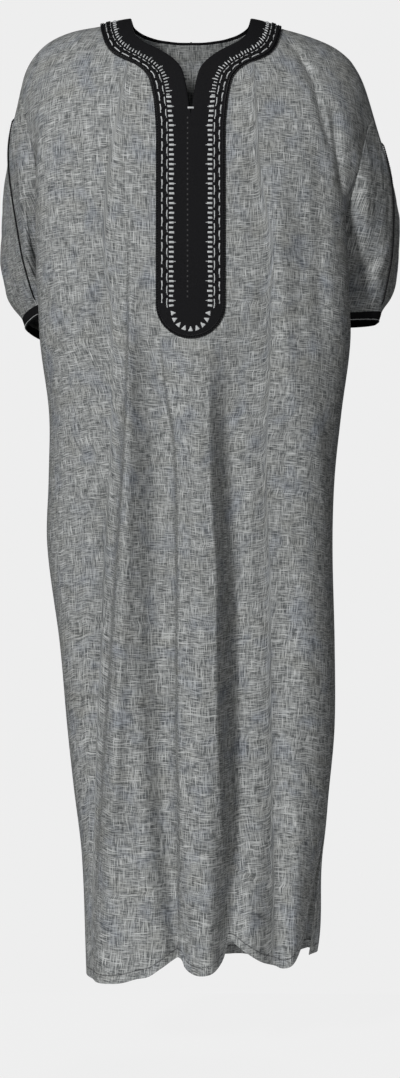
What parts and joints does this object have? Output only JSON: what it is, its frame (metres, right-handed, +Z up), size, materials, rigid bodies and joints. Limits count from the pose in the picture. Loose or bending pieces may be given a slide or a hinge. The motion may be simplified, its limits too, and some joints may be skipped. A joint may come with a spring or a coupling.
{
  "type": "kandora",
  "caption": "Ankle-length kandora in its worn form, hollow, with short dropped sleeves, black cuffs, side slits and a long round-ended black front band.",
  "frame": {"origin": "midway between the two neck points, on the shoulder line, where the wearer's shoulders carry the garment", "axes": "+Z up, the front faces -Y, the wearer's left sleeve is at +X"},
  "size_m": [0.5779, 0.3064, 1.3534],
  "materials": {
    "cloth": "matt slub weave, mid grey with light slubs",
    "black_cloth": "matt black plain weave",
    "black_cord": "black twisted cord with a slight sheen",
    "embroidery_thread": "light grey satin thread"
  },
  "bodies": {
    "root": {"front_panel": "cloth", "back_panel": "cloth", "right_sleeve_front": "cloth", "right_sleeve_back": "cloth", "left_sleeve_front": "cloth", "left_sleeve_back": "cloth", "right_cuff": "black_cloth", "left_cuff": "black_cloth", "placket_band": "black_cloth", "back_neck_band": "black_cloth", "placket_braid": "black_cord", "back_neck_braid": "black_cord", "right_piping": "black_cord", "left_piping": "black_cord"}
  },
  "joints": []
}
